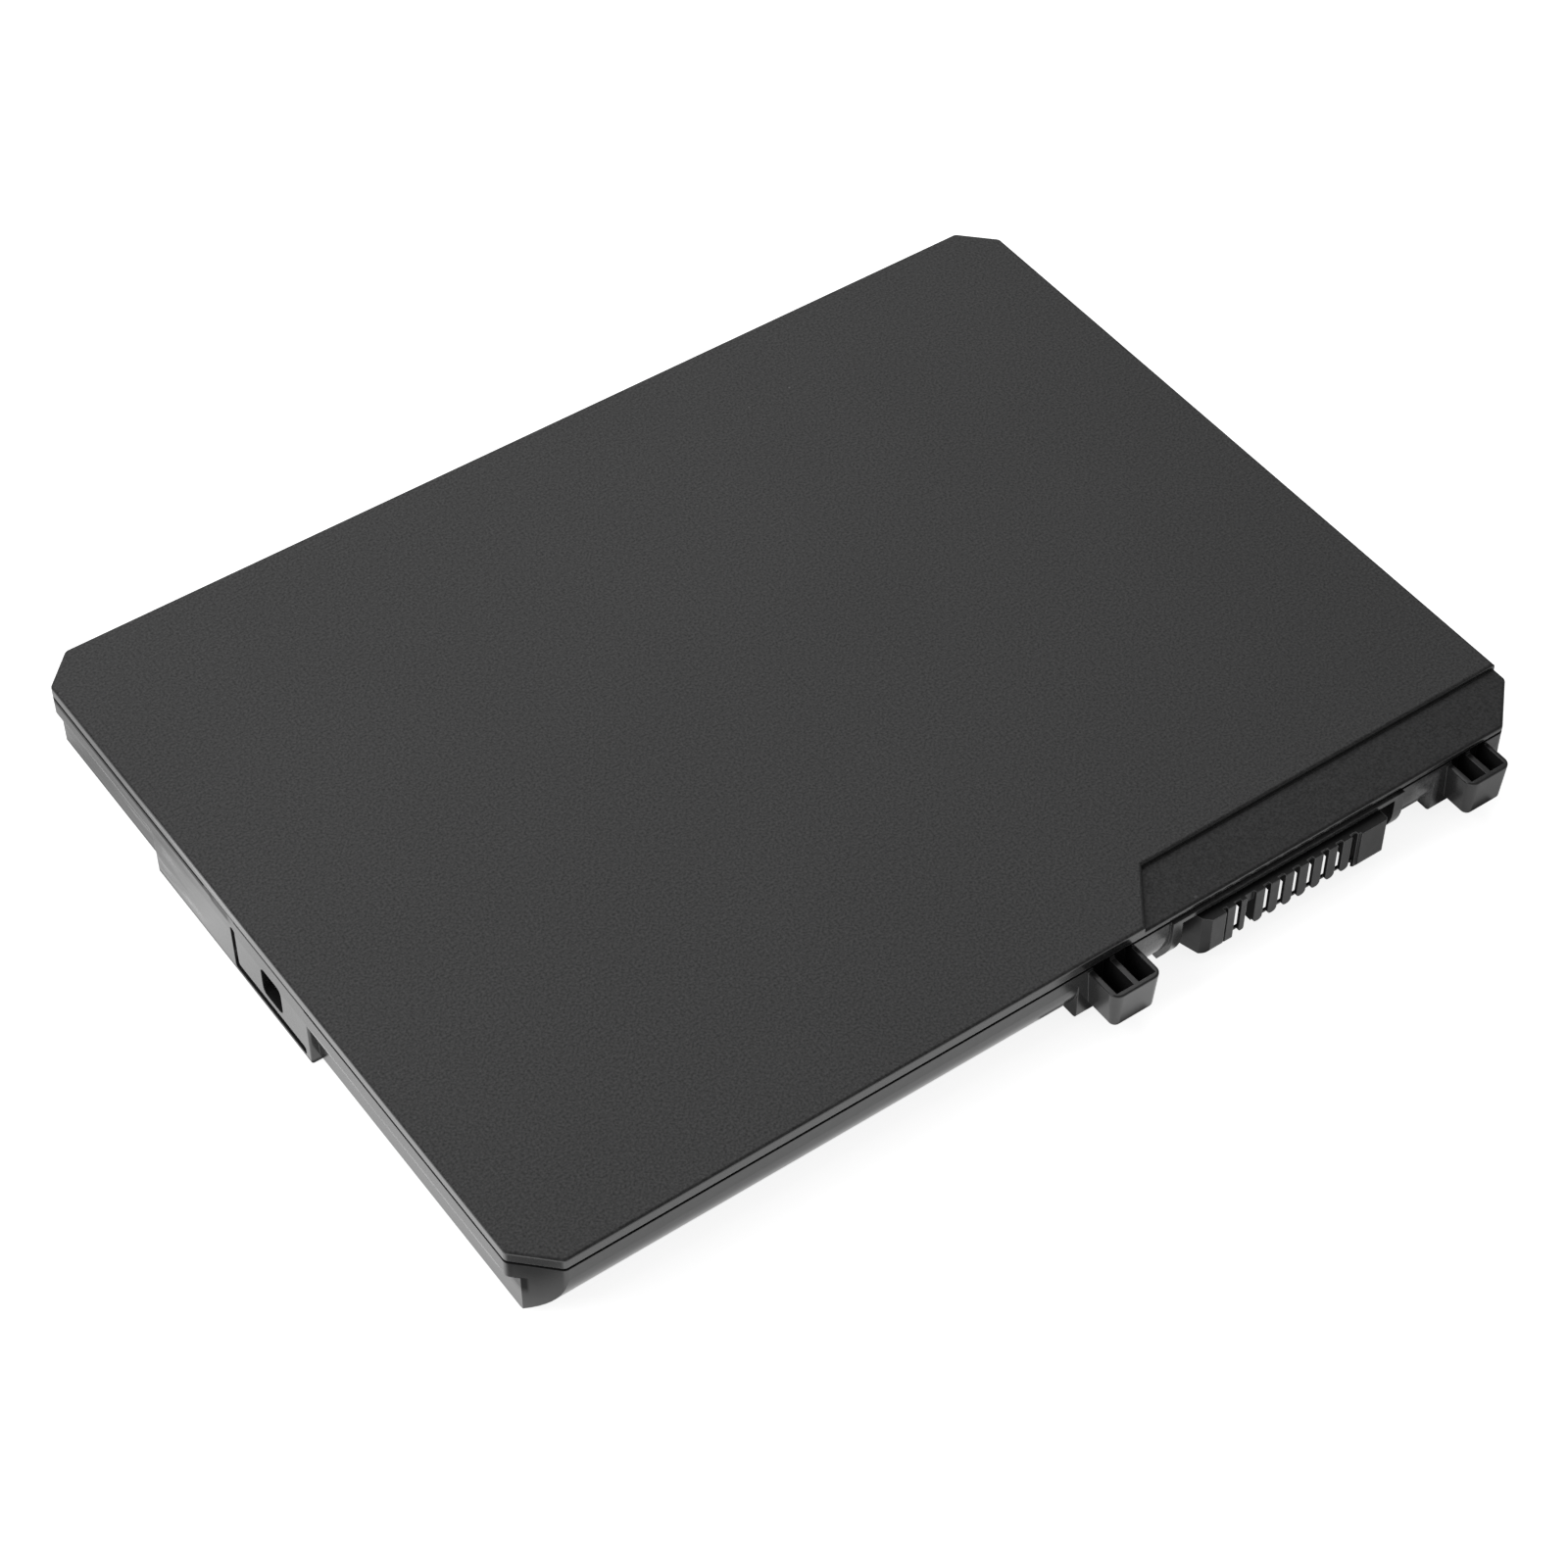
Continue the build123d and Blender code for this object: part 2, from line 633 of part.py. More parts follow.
free_x = [(minus + plus) / 2 for minus, plus in zip(plus_x, minus_x)]
packaged_chip("controller_chip", free_x[0], controller_size, controller_lead, controller_lead_count)
packaged_chip("switch_chip_1", free_x[1] - switch_offset, switch_size, switch_lead, switch_lead_count)
packaged_chip("switch_chip_2", free_x[1] + switch_offset, switch_size, switch_lead, switch_lead_count)


# Two-ended chips: a body between two metal caps that wrap its ends
def two_ended_chip(name, places, size):
    length, width, height = size
    with BuildPart() as chip:
        for place in places:
            with Locations((place[0], place[1], seat_level + cap_skin)):
                Box(length - 2 * cap_skin, width - 2 * cap_skin, height - cap_skin, align=on_base)
            for side in (-1, 1):
                with Locations((place[0] + side * (length - chip_cap) / 2, place[1], seat_level)):
                    Box(chip_cap, width, height + cap_skin, align=on_base)
    finish(chip.part, name)


passive_y = front_y + chip_front + passive_setback
capacitor_y = front_y + board_front + capacitor_setback
capacitor_x0 = free_x[0] - (capacitor_count - 1) / 2 * capacitor_pitch
capacitor_places = [(capacitor_x0 + step * capacitor_pitch, capacitor_y) for step in range(capacitor_count)]
two_ended_chip("fuse", [(free_x[2] - passive_offset, passive_y)], fuse_size)
two_ended_chip("shunt_resistor", [(free_x[2] + passive_offset, passive_y)], shunt_size)
two_ended_chip("thermistor", [(minus_x[2] + thermistor_offset, passive_y)], thermistor_size)
two_ended_chip("chip_capacitors", capacitor_places, capacitor_size)

# Sheets and foam that hold the cells and cover the board
with BuildPart() as floor_tape:
    with BuildSketch(Plane.XY.offset(floor_thickness)):
        with Locations((cells_x, front_y + cell_front + cell_length / 2)):
            Rectangle(cells_width - 2 * tape_margin, cell_length - 2 * tape_margin)
    extrude(amount=tape_thickness)
finish(floor_tape.part, "floor_tape")

for number, centre in enumerate(cell_centres, 1):
    with BuildPart() as foam_pad:
        with BuildSketch(Plane.XY.offset(cell_top)) as pad_plan:
            with Locations((centre, front_y + cell_front + cell_length / 2)):
                Rectangle(cell_width - 2 * pad_margin, cell_length - 2 * pad_margin)
            fillet(pad_plan.vertices(), pad_margin / 2)
        extrude(amount=plate_under - cell_top)
    finish(foam_pad.part, f"foam_pad_{number}")

with BuildPart() as rear_foam:
    with BuildSketch(Plane.XY.offset(cell_bottom + cell_edge)):
        with Locations((cells_x, front_y + cell_back)):
            Rectangle(cells_width - 2 * tape_margin, rear_foam_thickness, align=(Align.CENTER, Align.MIN))
    extrude(amount=rear_foam_height)
finish(rear_foam.part, "rear_foam")

with BuildPart() as insulating_sheet:
    with BuildSketch(Plane.XY.offset(plate_under - sheet_thickness)) as sheet_plan:
        with Locations((0, front_y + sheet_front)):
            Rectangle(board_width - 2 * sheet_margin, sheet_depth, align=(Align.CENTER, Align.MIN))
        fillet(sheet_plan.vertices(), board_corner)
    extrude(amount=sheet_thickness)
finish(insulating_sheet.part, "insulating_sheet")
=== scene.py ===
import bpy
import bmesh
import math
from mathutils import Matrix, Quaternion, Vector


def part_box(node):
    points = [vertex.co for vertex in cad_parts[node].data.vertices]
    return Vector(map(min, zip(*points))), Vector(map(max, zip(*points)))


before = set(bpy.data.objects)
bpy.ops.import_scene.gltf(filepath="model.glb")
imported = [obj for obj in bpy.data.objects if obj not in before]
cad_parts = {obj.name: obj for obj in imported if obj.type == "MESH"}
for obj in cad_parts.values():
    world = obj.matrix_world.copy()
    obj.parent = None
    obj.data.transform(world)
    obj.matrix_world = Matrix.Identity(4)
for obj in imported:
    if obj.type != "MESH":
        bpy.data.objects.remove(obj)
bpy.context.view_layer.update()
scene = bpy.context.scene
mm = 0.001
print("frame loaded,", len(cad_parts), "nodes")

# What the finishes share: where most of a noise lies, the greys' cool cast, grains, worn edges with a
# painted highlight and specks
noiseMiddle = (0.3, 0.7)
coolCast = 1.01
drawnOut = (1, 0.12, 1)
grainKind = {"detail": 2, "roughness": 0.6}
scratchKind = {"scale": 500, "detail": 3, "roughness": 0.7}
bevelSamples = {"soft": 4, "wornHighlight": 6}
wornHighlightLook = {"bend": (0.995, 0.86), "patches": (0.35, 0.6), "least": 0.25}
speckCore = 0.5


# Node helpers shared by the finishes
def newFinish(name):
    finish = bpy.data.materials.new(name)
    finish.use_nodes = True
    tree = finish.node_tree
    tree.nodes.clear()
    shader = tree.nodes.new("ShaderNodeBsdfPrincipled")
    output = tree.nodes.new("ShaderNodeOutputMaterial")
    tree.links.new(shader.outputs["BSDF"], output.inputs["Surface"])
    return finish, tree, shader


# A socket takes a colour, a number or a link
def feed(tree, socket, value):
    if isinstance(value, tuple):
        socket.default_value = (*value, 1)
    elif isinstance(value, (int, float)):
        socket.default_value = value
    else:
        tree.links.new(value, socket)


def objectPlace(tree, stretch=(1, 1, 1)):
    coords = tree.nodes.new("ShaderNodeTexCoord")
    mapping = tree.nodes.new("ShaderNodeMapping")
    mapping.inputs["Scale"].default_value = stretch
    tree.links.new(coords.outputs["Object"], mapping.inputs["Vector"])
    return mapping.outputs["Vector"]


def objectAxes(tree):
    split = tree.nodes.new("ShaderNodeSeparateXYZ")
    tree.links.new(objectPlace(tree), split.inputs["Vector"])
    return split.outputs


def noise(tree, place, scale, detail, roughness):
    node = tree.nodes.new("ShaderNodeTexNoise")
    node.inputs["Scale"].default_value = scale
    node.inputs["Detail"].default_value = detail
    node.inputs["Roughness"].default_value = roughness
    tree.links.new(place, node.inputs["Vector"])
    return node.outputs["Fac"]


def spread(tree, value, low, high, outLow, outHigh):
    node = tree.nodes.new("ShaderNodeMapRange")
    node.inputs["From Min"].default_value = low
    node.inputs["From Max"].default_value = high
    node.inputs["To Min"].default_value = outLow
    node.inputs["To Max"].default_value = outHigh
    tree.links.new(value, node.inputs["Value"])
    return node.outputs["Result"]


def combine(tree, operation, first, second):
    node = tree.nodes.new("ShaderNodeMath")
    node.operation = operation
    feed(tree, node.inputs[0], first)
    feed(tree, node.inputs[1], second)
    return node.outputs["Value"]


def times(tree, first, second):
    return combine(tree, "MULTIPLY", first, second)


def most(tree, first, second):
    return combine(tree, "MAXIMUM", first, second)


def inverse(tree, value):
    return combine(tree, "SUBTRACT", 1, value)


def mix(tree, kind, factor, first, second):
    node = tree.nodes.new("ShaderNodeMix")
    node.data_type = kind
    tree.links.new(factor, node.inputs["Factor"])
    feed(tree, node.inputs["A"], first)
    feed(tree, node.inputs["B"], second)
    return node.outputs["Result"]


def tint(tree, factor, first, second):
    return mix(tree, "RGBA", factor, first, second)


def blend(tree, factor, first, second):
    return mix(tree, "FLOAT", factor, first, second)


# A gain about one that follows a noise up and down by a share
def waver(tree, value, share):
    return spread(tree, value, *noiseMiddle, 1 - share, 1 + share)


def bevel(tree, radius, samples):
    node = tree.nodes.new("ShaderNodeBevel")
    node.samples = samples
    node.inputs["Radius"].default_value = radius * mm
    return node.outputs["Normal"]


def bump(tree, relief, depth, strength, edge):
    node = tree.nodes.new("ShaderNodeBump")
    node.inputs["Distance"].default_value = depth * mm
    feed(tree, node.inputs["Strength"], strength)
    tree.links.new(relief, node.inputs["Height"])
    tree.links.new(bevel(tree, edge, bevelSamples["soft"]), node.inputs["Normal"])
    return node.outputs["Normal"]


# Worn edges: a lighter tone on bevelled edges, broken up by a noise; partly wear, partly a painted
# highlight along the edges
def wornHighlightEdge(tree, radius, breakUp):
    geometry = tree.nodes.new("ShaderNodeNewGeometry")
    agree = tree.nodes.new("ShaderNodeVectorMath")
    agree.operation = "DOT_PRODUCT"
    tree.links.new(bevel(tree, radius, bevelSamples["wornHighlight"]), agree.inputs[0])
    tree.links.new(geometry.outputs["Normal"], agree.inputs[1])
    edge = spread(tree, agree.outputs["Value"], *wornHighlightLook["bend"], 0, 1)
    patches = spread(tree, breakUp, *wornHighlightLook["patches"], wornHighlightLook["least"], 1)
    return times(tree, edge, patches)


def grey(level):
    return (level, level, level * coolCast)


def facing(tree, axis, low, high):
    coords = tree.nodes.new("ShaderNodeTexCoord")
    split = tree.nodes.new("ShaderNodeSeparateXYZ")
    tree.links.new(coords.outputs["Normal"], split.inputs["Vector"])
    return spread(tree, split.outputs[axis], low, high, 0, 1)


def height(tree, low, high):
    return spread(tree, objectAxes(tree)["Z"], low * mm, high * mm, 0, 1)


def specks(tree, scale, radius, share):
    node = tree.nodes.new("ShaderNodeTexVoronoi")
    node.inputs["Scale"].default_value = scale
    tree.links.new(objectPlace(tree), node.inputs["Vector"])
    split = tree.nodes.new("ShaderNodeSeparateColor")
    tree.links.new(node.outputs["Color"], split.inputs["Color"])
    near = spread(tree, node.outputs["Distance"], radius, radius * speckCore, 0, 1)
    chosen = combine(tree, "GREATER_THAN", split.outputs["Red"], 1 - share)
    return times(tree, near, chosen)


# A soft-edged box in the part's millimetres, each end given as a pair that the mask fades between
def within(tree, **ends):
    axes = objectAxes(tree)
    inside = 1
    for axis, (rise, fall) in ends.items():
        for (start, stop), first, last in ((rise, 0, 1), (fall, 1, 0)):
            edge = spread(tree, axes[axis.upper()], start * mm, stop * mm, first, last)
            inside = times(tree, edge, inside)
    return inside


# The export keeps a plain level only, so the socket has one beside its link
def setShine(tree, shader, plain, shine):
    socket = shader.inputs["Specular IOR Level"]
    socket.default_value = plain
    tree.links.new(shine, socket)


# Cover: grained matte top, smoother stepped panel and smoother edge band
coverLook = {
    "dark": 0.03, "light": 0.046, "wornHighlight": 0.09, "rubbedHighlight": 0.3, "dustAndPaintedLight": 0.12, "gapShade": 0.002,
    "cloud": {"scale": 38, "detail": 4, "roughness": 0.55}, "cloudShare": 0.05,
    "grain": 3600, "grainShare": 0.5, "depth": 0.02, "bandBump": 0.1, "topBump": 0.5,
    "softRadius": 0.06, "wornHighlightRadius": 0.12, "rubHighlightMarks": (0.42, 0.6),
    "topFacing": (0.35, 0.75), "panelRise": (9.4, 9.5), "bandRise": (8.62, 8.65),
    "topRough": 0.5, "panelRough": 0.4, "bandRough": 0.22,
    "topShine": 0.31, "panelShine": 0.115, "bandShine": 0.9,
    "dust": {"scale": 170, "radius": 0.028, "share": 0.2},
    "crumbs": {"scale": 900, "radius": 0.25, "share": 0.3},
    "crumbZone": {"x": ((12.0, 13.0), (15.0, 20.0)), "y": ((-48.0, -47.9), (-45.0, -41.0))},
    "frontRubHighlight": {"y": ((-48.0, -47.9), (-47.1, -46.9)), "z": ((8.6, 8.7), (9.4, 9.5))},
    "sideRubHighlight": {"x": ((-66.0, -65.9), (-64.7, -64.5)), "y": ((5.0, 12.0), (24.0, 38.0)),
                "z": ((9.0, 9.3), (10.1, 10.2))},
}
coverFinish, tree, shader = newFinish("cover plastic")
place = objectPlace(tree)
cloud = noise(tree, place, **coverLook["cloud"])
grain = noise(tree, place, coverLook["grain"], **grainKind)
scratch = noise(tree, objectPlace(tree, drawnOut), **scratchKind)
isTop = facing(tree, "Z", *coverLook["topFacing"])
isHigh = height(tree, *coverLook["panelRise"])
outOfGap = height(tree, *coverLook["bandRise"])

# Its colour: grain, then dust, worn edges and rubbed places, both lightened as wear and as a painted
# highlight, and painted shade in the gap under the band
tones = grey(coverLook["dark"]), grey(coverLook["light"])
colour = tint(tree, spread(tree, grain, *noiseMiddle, 0, 1), *tones)
dust = times(tree, specks(tree, **coverLook["dust"]), isTop)
crumbs = times(tree, specks(tree, **coverLook["crumbs"]), within(tree, **coverLook["crumbZone"]))
colour = tint(tree, most(tree, dust, crumbs), colour, grey(coverLook["dustAndPaintedLight"]))
edge = wornHighlightEdge(tree, coverLook["wornHighlightRadius"], cloud)
wornHighlight = times(tree, edge, inverse(tree, isHigh))
colour = tint(tree, wornHighlight, colour, grey(coverLook["wornHighlight"]))
# Rubbed front edge and rub-streaked upper left band: a lighter tone, partly wear and partly a painted
# highlight
frontRubHighlight = times(tree, edge, within(tree, **coverLook["frontRubHighlight"]))
rubHighlightMarks = spread(tree, scratch, *coverLook["rubHighlightMarks"], 0, 1)
sideRubHighlight = times(tree, rubHighlightMarks, within(tree, **coverLook["sideRubHighlight"]))
sideRubHighlight = times(tree, sideRubHighlight, inverse(tree, isTop))
colour = tint(tree, most(tree, frontRubHighlight, sideRubHighlight), colour, grey(coverLook["rubbedHighlight"]))
# Painted shade: the gap under the band is painted near black
colour = tint(tree, outOfGap, grey(coverLook["gapShade"]), colour)
tree.links.new(colour, shader.inputs["Base Color"])

# Its gloss and relief, by top, panel and band, with no shine in the gap's painted shade
topRough = blend(tree, isHigh, coverLook["panelRough"], coverLook["topRough"])
rough = blend(tree, isTop, coverLook["bandRough"], topRough)
tree.links.new(rough, shader.inputs["Roughness"])
grainGain = waver(tree, grain, coverLook["grainShare"])
gain = times(tree, grainGain, waver(tree, cloud, coverLook["cloudShare"]))
topShine = blend(tree, isHigh, coverLook["panelShine"], coverLook["topShine"])
shine = blend(tree, isTop, coverLook["bandShine"], times(tree, gain, topShine))
setShine(tree, shader, coverLook["topShine"], times(tree, shine, outOfGap))
strength = blend(tree, isTop, coverLook["bandBump"], coverLook["topBump"])
relief = bump(tree, grain, coverLook["depth"], strength, coverLook["softRadius"])
tree.links.new(relief, shader.inputs["Normal"])
print("cover finish done")

# Shell and connector: satin plastic with worn edges and, in zones, painted light patches, bare lines,
# painted shade that dims the shine, and scratches; worn edges and bare lines are partly a painted
# highlight
plasticLook = {
    "cloud": {"scale": 35, "detail": 3, "roughness": 0.5},
    "streak": {"scale": 900, "detail": 3, "roughness": 0.6},
    "bareMarks": (0.54, 0.66), "dullMarks": (0.52, 0.38),
    "bareHighlightLine": (0.35, 0.6), "lineLeast": 0.2,
    "ledgeFacing": (0.6, 0.95), "bump": 0.5,
}


def plastic(name, look):
    finish, tree, shader = newFinish(name)
    place, along = objectPlace(tree), objectPlace(tree, drawnOut)
    cloud = noise(tree, place, **plasticLook["cloud"])
    fine = noise(tree, place, look["grain"], **grainKind)
    streak = noise(tree, along, **plasticLook["streak"])
    scratch = noise(tree, along, **scratchKind)
    colour = tint(tree, fine, grey(look["dark"]), grey(look["light"]))
    # Painted light: lighter grained patches in the given zones
    for tone, zone in look["dustAndPaintedLight"]:
        colour = tint(tree, times(tree, within(tree, **zone), fine), colour, grey(tone))
    colour = tint(tree, wornHighlightEdge(tree, look["edge"], cloud), colour, grey(look["wornHighlight"]))
    bareMarks = spread(tree, scratch, *plasticLook["bareMarks"], 0, 1)
    for level, zone in look["scratched"]:
        bareAndHighlight = times(tree, within(tree, **zone), bareMarks)
        colour = tint(tree, bareAndHighlight, colour, grey(look["bareAndHighlight"]))
    bareHighlightLine = spread(tree, streak, *plasticLook["bareHighlightLine"], plasticLook["lineLeast"], 1)
    # Lighter streaked lines along the rail's lower edge: wear and a painted highlight
    for zone in look["bareHighlightLines"]:
        bareAndHighlight = times(tree, within(tree, **zone), bareHighlightLine)
        colour = tint(tree, bareAndHighlight, colour, grey(look["bareAndHighlight"]))
    tree.links.new(colour, shader.inputs["Base Color"])
    rough = spread(tree, cloud, *noiseMiddle, *look["roughness"])
    tree.links.new(rough, shader.inputs["Roughness"])
    relief = bump(tree, fine, look["depth"], plasticLook["bump"], look["edge"])
    tree.links.new(relief, shader.inputs["Normal"])
    isLedge = facing(tree, "Z", *plasticLook["ledgeFacing"])
    shine = blend(tree, isLedge, look["specular"], look["ledge"])
    shine = times(tree, shine, waver(tree, streak, look["streak"]))
    # Painted shade: the shine is dimmed in the given zones
    for level, zone in look["paintedShade"]:
        shine = times(tree, shine, spread(tree, within(tree, **zone), 0, 1, 1, level))
    dullMarks = spread(tree, scratch, *plasticLook["dullMarks"], 0, 1)
    for level, zone in look["scratched"]:
        marks = times(tree, within(tree, **zone), dullMarks)
        shine = times(tree, shine, spread(tree, marks, 0, 1, 1, level))
    setShine(tree, shader, look["specular"], shine)
    return finish


# Ends that several of the shell's zones share
bayY = ((-50.0, -49.9), (-46.5, -46.4))
cheekZ = ((1.0, 3.0), (7.4, 8.2))
railX = ((-66.0, -65.5), (-64.6, -64.4))
railEdgeZ = ((5.90, 6.00), (6.28, 6.43))
leftWallX = ((-64.6, -64.4), (-63.6, -63.4))
rightWallX = ((63.4, 63.6), (64.4, 64.6))
underRailZ = ((3.4, 4.5), (6.1, 6.2))
seamX = ((-66.0, -65.5), (-63.9, -63.7))
toBack = (60, 61)
shellLook = {
    "dark": 0.022, "light": 0.032, "roughness": (0.12, 0.22), "grain": 4200, "depth": 0.006,
    "edge": 0.15, "specular": 0.73, "ledge": 0.3, "streak": 0.05, "wornHighlight": 0.1, "bareAndHighlight": 0.3,
    # Painted light: lighter patches on the hood over the bay and on the walls between the lugs and the
    # comb
    "dustAndPaintedLight": [
        (0.09, {"x": ((13.5, 14.0), (44.5, 45.0)), "y": bayY, "z": ((7.4, 7.5), (8.5, 8.6))}),
        (0.2, {"x": ((9.6, 10.4), (13.6, 14.6)), "y": bayY, "z": cheekZ}),
        (0.3, {"x": ((47.0, 48.0), (50.6, 51.4)), "y": bayY, "z": cheekZ}),
    ],
    # Wear and a painted highlight along the left rail's lower edge
    "bareHighlightLines": [
        {"x": railX, "y": ((-43.0, -42.0), (-7.5, -6.5)), "z": railEdgeZ},
        {"x": railX, "y": ((26.0, 27.0), (46.0, 48.0)), "z": railEdgeZ},
    ],
    # Painted shade: dimmed shine under the rails, low on the left wall towards the back, on the left
    # rail, in the seam under the cover's band and along the left bottom edge
    "paintedShade": [
        (0.15, {"x": leftWallX, "z": underRailZ}),
        (0.15, {"x": rightWallX, "z": underRailZ}),
        (0.4, {"x": leftWallX, "y": ((14, 26), toBack), "z": ((3.2, 4.4), (6.1, 6.2))}),
        (0.7, {"x": railX, "z": ((6.0, 6.2), (8.0, 8.2))}),
        (0.06, {"x": seamX, "y": ((12.6, 13.4), toBack), "z": ((7.6, 7.8), (8.6, 8.7))}),
        (0.04, {"x": seamX, "y": ((-60, -59), (8.5, 9.5)), "z": ((8.12, 8.26), (8.6, 8.7))}),
        (0.1, {"x": seamX, "y": ((8.6, 10.0), (13.2, 13.8)), "z": ((7.1, 7.5), (8.45, 8.6))}),
        (0.25, {"x": ((-66.0, -65.5), (-63.4, -63.2)), "z": ((-0.2, -0.1), (0.25, 0.6))}),
    ],
    "scratched": [
        (0.55, {"x": ((-66.0, -65.5), (-63.4, -63.3)), "y": ((15, 19), toBack),
                "z": ((0.5, 1.0), (7.6, 7.7))}),
    ],
}
connectorLook = {
    "dark": 0.012, "light": 0.017, "roughness": (0.32, 0.44), "grain": 4000, "depth": 0.006,
    "edge": 0.18, "specular": 0.4, "ledge": 0.2, "streak": 0.1, "wornHighlight": 0.3, "bareAndHighlight": 0.2,
    "dustAndPaintedLight": [], "bareHighlightLines": [], "paintedShade": [], "scratched": [],
}
shellFinish = plastic("shell plastic", shellLook)
connectorFinish = plastic("connector plastic", connectorLook)
print("shell and connector finishes done")

# Inside pieces: two close tones in a drawn-out or even grain, and tinned leads or ends on the chips
insideGrain = {"detail": 3, "roughness": 0.6}
insideRelief = {"strength": 0.6, "edge": 0.08}
insideLooks = {
    "contact_metal": {
        "tones": ((0.5, 0.38, 0.18), (0.72, 0.58, 0.31)), "metal": 1, "rough": (0.2, 0.34),
        "grain": 700, "stretch": (1, 0.1, 1), "depth": 0.003},
    "cell_pouch": {
        "tones": ((0.52, 0.53, 0.54), (0.68, 0.69, 0.7)), "metal": 1, "rough": (0.3, 0.46),
        "grain": 140, "stretch": (1, 1, 1), "depth": 0.06},
    "tab_aluminium": {
        "tones": ((0.66, 0.67, 0.68), (0.8, 0.81, 0.82)), "metal": 1, "rough": (0.2, 0.36),
        "grain": 2400, "stretch": (1, 0.05, 1), "depth": 0.003},
    "nickel": {
        "tones": ((0.5, 0.48, 0.45), (0.64, 0.62, 0.58)), "metal": 1, "rough": (0.24, 0.4),
        "grain": 2400, "stretch": (0.05, 1, 1), "depth": 0.003},
    "board_laminate": {
        "tones": ((0.012, 0.07, 0.03), (0.025, 0.13, 0.055)), "metal": 0, "rough": (0.24, 0.36),
        "grain": 420, "stretch": (1, 0.25, 1), "depth": 0.01},
    "chip_resin": {
        "tones": ((0.012, 0.012, 0.012), (0.028, 0.028, 0.028)), "metal": 0, "rough": (0.5, 0.66),
        "grain": 5200, "stretch": (1, 1, 1), "depth": 0.01},
    "chip_ceramic": {
        "tones": ((0.36, 0.29, 0.2), (0.5, 0.42, 0.31)), "metal": 0, "rough": (0.4, 0.55),
        "grain": 3600, "stretch": (1, 1, 1), "depth": 0.008},
    "adhesive_tape": {
        "tones": ((0.58, 0.58, 0.53), (0.74, 0.74, 0.69)), "metal": 0, "rough": (0.45, 0.6),
        "grain": 1300, "stretch": (0.2, 1, 1), "depth": 0.01},
    "foam": {
        "tones": ((0.014, 0.014, 0.015), (0.05, 0.05, 0.052)), "metal": 0, "rough": (0.85, 0.97),
        "grain": 2600, "stretch": (1, 1, 1), "depth": 0.12},
    "insulating_paper": {
        "tones": ((0.2, 0.24, 0.17), (0.33, 0.37, 0.28)), "metal": 0, "rough": (0.68, 0.82),
        "grain": 1800, "stretch": (0.15, 1, 1), "depth": 0.02},
}
tinnedLook = {"tone": (0.72, 0.71, 0.69), "rough": 0.28}
leads = {"axis": 1, "cap": 0.8}
endCaps = {"axis": 0, "cap": 0.5}
tinnedEnds = {
    "controller_chip": leads, "switch_chip_1": leads, "switch_chip_2": leads,
    "fuse": endCaps, "shunt_resistor": endCaps, "thermistor": endCaps,
    "chip_capacitors": {**endCaps, "length": 1.6, "pitch": 2.6},
}


def insideFinish(name, look):
    finish, tree, shader = newFinish(name)
    grain = noise(tree, objectPlace(tree, look["stretch"]), look["grain"], **insideGrain)
    tone = tint(tree, spread(tree, grain, *noiseMiddle, 0, 1), *look["tones"])
    rough = spread(tree, grain, *noiseMiddle, *look["rough"])
    shader.inputs["Metallic"].default_value = look["metal"]
    tree.links.new(tone, shader.inputs["Base Color"])
    tree.links.new(rough, shader.inputs["Roughness"])
    relief = bump(tree, grain, look["depth"], **insideRelief)
    tree.links.new(relief, shader.inputs["Normal"])
    return finish, tree, shader, tone, rough


# A row of chips in one node repeats its ends at the pitch
def tinned(node, look, axis, cap, length=None, pitch=None):
    finish, tree, shader, tone, rough = insideFinish(node.replace("_", " "), look)
    low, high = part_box(node)
    length = length or (high[axis] - low[axis]) / mm
    along = combine(tree, "SUBTRACT", objectAxes(tree)[axis], low[axis])
    along = combine(tree, "MODULO", along, (pitch or length) * mm)
    nearEnd = combine(tree, "LESS_THAN", along, cap * mm)
    farEnd = combine(tree, "GREATER_THAN", along, (length - cap) * mm)
    ends = most(tree, nearEnd, farEnd)
    tree.links.new(ends, shader.inputs["Metallic"])
    tree.links.new(tint(tree, ends, tone, tinnedLook["tone"]), shader.inputs["Base Color"])
    tree.links.new(blend(tree, ends, rough, tinnedLook["rough"]), shader.inputs["Roughness"])
    return finish


finishes = {"cover_plastic": coverFinish, "shell_plastic": shellFinish,
            "connector_plastic": connectorFinish}
for slot, look in insideLooks.items():
    finishes[slot] = insideFinish(slot.replace("_", " "), look)[0]
for node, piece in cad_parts.items():
    slot = piece.data.materials[0].name
    finish = finishes[slot]
    if node in tinnedEnds:
        finish = tinned(node, insideLooks[slot], **tinnedEnds[node])
    piece.data.materials.clear()
    piece.data.materials.append(finish)
print("all finishes done")

# Camera at the photograph's angle, placed from the cover's front left top corner
photoCamera = {
    "lens": 85.25,
    "sensor": 36.0,
    "offset": (-97.04 * mm, -175.76 * mm, 292.09 * mm),
    "aim": (0.39083, 0.54276, -0.74341),
    "roll": math.radians(0.28),
}
coverLow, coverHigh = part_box("top_cover")
corner = Vector((coverLow[0], coverLow[1], coverHigh[2]))
cameraData = bpy.data.cameras.new("camera")
cameraData.sensor_width = photoCamera["sensor"]
cameraData.lens = photoCamera["lens"]
camera = bpy.data.objects.new("camera", cameraData)
scene.collection.objects.link(camera)
camera.location = corner + Vector(photoCamera["offset"])
camera.rotation_mode = "QUATERNION"
aim = Vector(photoCamera["aim"]).to_track_quat("-Z", "Y")
camera.rotation_quaternion = aim @ Quaternion((0, 0, 1), photoCamera["roll"])
scene.camera = camera
print("camera done")

